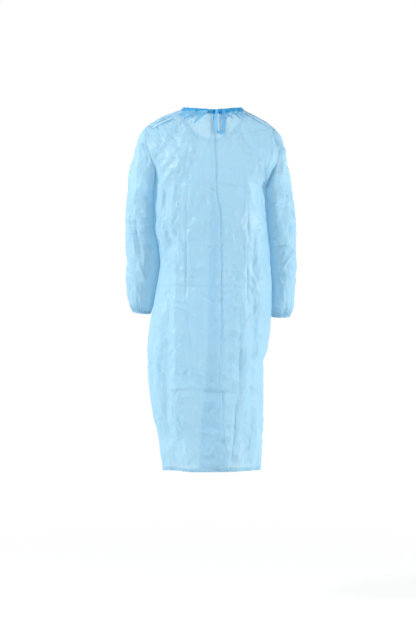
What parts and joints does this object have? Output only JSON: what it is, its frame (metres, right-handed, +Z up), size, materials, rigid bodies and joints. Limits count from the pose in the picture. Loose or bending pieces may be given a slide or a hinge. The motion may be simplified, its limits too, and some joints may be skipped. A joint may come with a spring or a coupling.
{
  "type": "isolation gown",
  "caption": "Long disposable isolation gown in its worn, hollow shape, with a lapped open back, long sleeves, gathered cuffs and a bound neck.",
  "frame": {"origin": "between the wearer's shoulders, level with the top of the neck edge, where the wearer holds the gown up", "axes": "+X to the wearer's right, +Y the way the wearer faces, +Z up; the open back faces -Y"},
  "size_m": [0.522, 0.2658, 1.1095],
  "materials": {
    "nonwoven": "light blue spunbond polypropylene, thin and translucent, with a faint bond pattern and a soft sheen",
    "binding": "the same nonwoven in several layers, so a deeper blue, sewn down and softly gathered",
    "tie": "folded nonwoven ribbon, matte"
  },
  "bodies": {
    "root": {"front_panel": "nonwoven", "back_left_panel": "nonwoven", "back_right_panel": "nonwoven", "sleeve_left": "nonwoven", "sleeve_right": "nonwoven", "cuff_left": "nonwoven", "cuff_right": "nonwoven", "neck_binding": "binding", "neck_tie_loop": "tie"}
  },
  "joints": []
}
